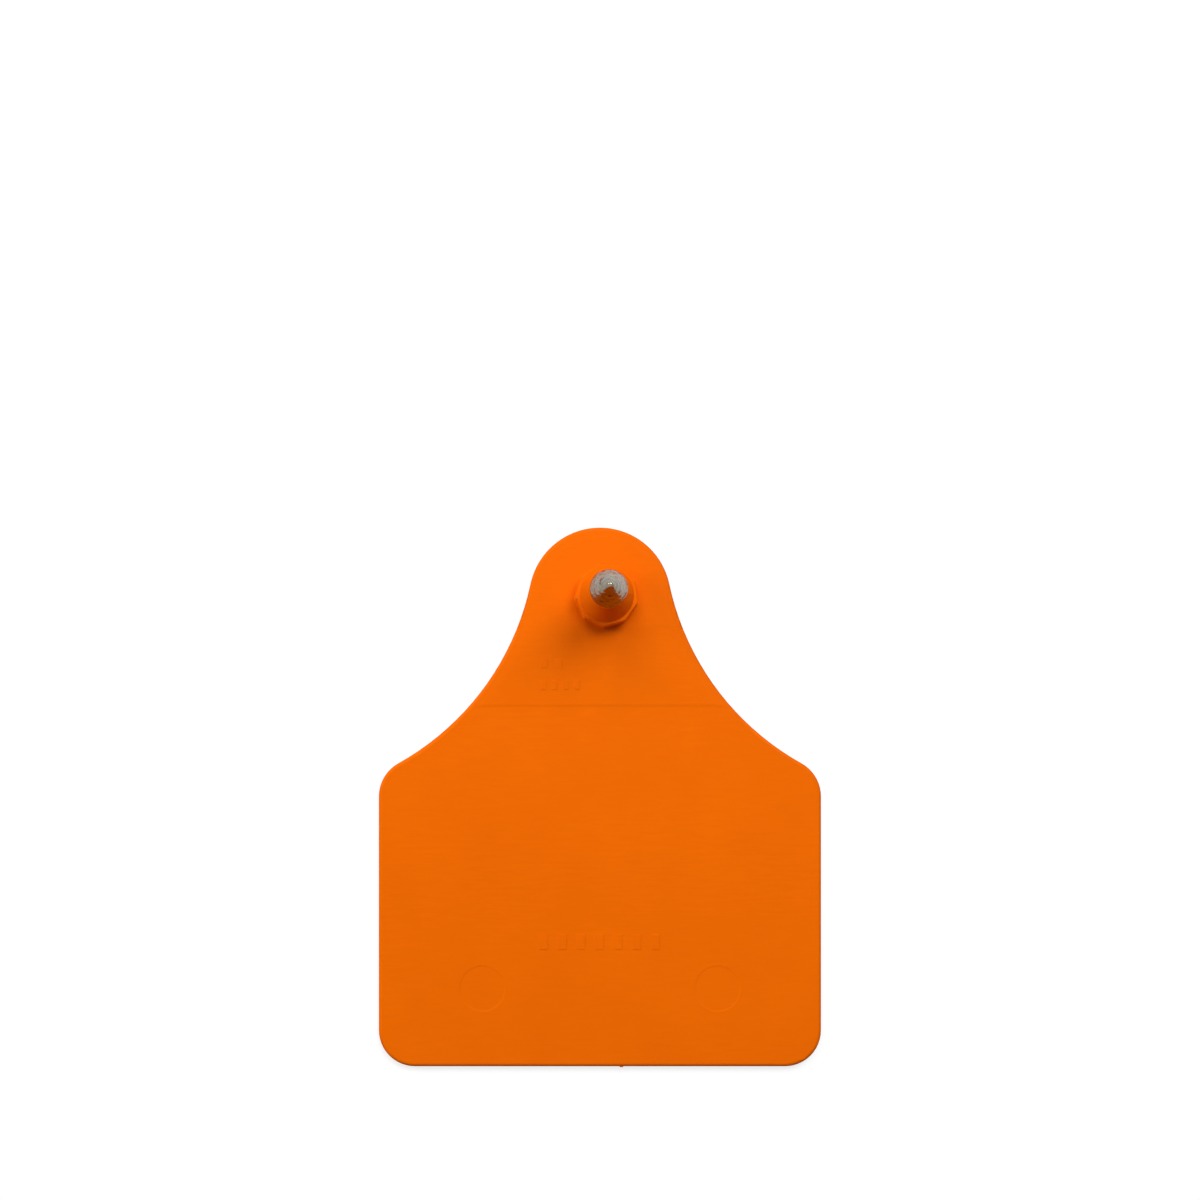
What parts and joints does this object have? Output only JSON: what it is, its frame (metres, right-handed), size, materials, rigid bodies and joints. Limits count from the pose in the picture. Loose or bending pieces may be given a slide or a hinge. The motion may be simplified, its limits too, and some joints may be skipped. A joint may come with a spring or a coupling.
{
  "type": "livestock ear tag",
  "caption": "Stud half of a two-piece livestock ear tag: blank flexible panel with a flared neck, a hollow stem on a many-sided collar and a metal piercing tip.",
  "frame": {"origin": "on the flat back face, at the middle of the panel's width and height", "axes": "+Z out of the front face, along the stud; +Y up the panel towards the neck; +X across the panel"},
  "size_m": [0.076, 0.0928, 0.0238],
  "materials": {
    "orange_polyurethane": "satin moulded thermoplastic polyurethane",
    "tip_metal": "turned metal, dull"
  },
  "bodies": {
    "root": {"tag_panel": "orange_polyurethane", "piercing_tip": "tip_metal"}
  },
  "joints": []
}
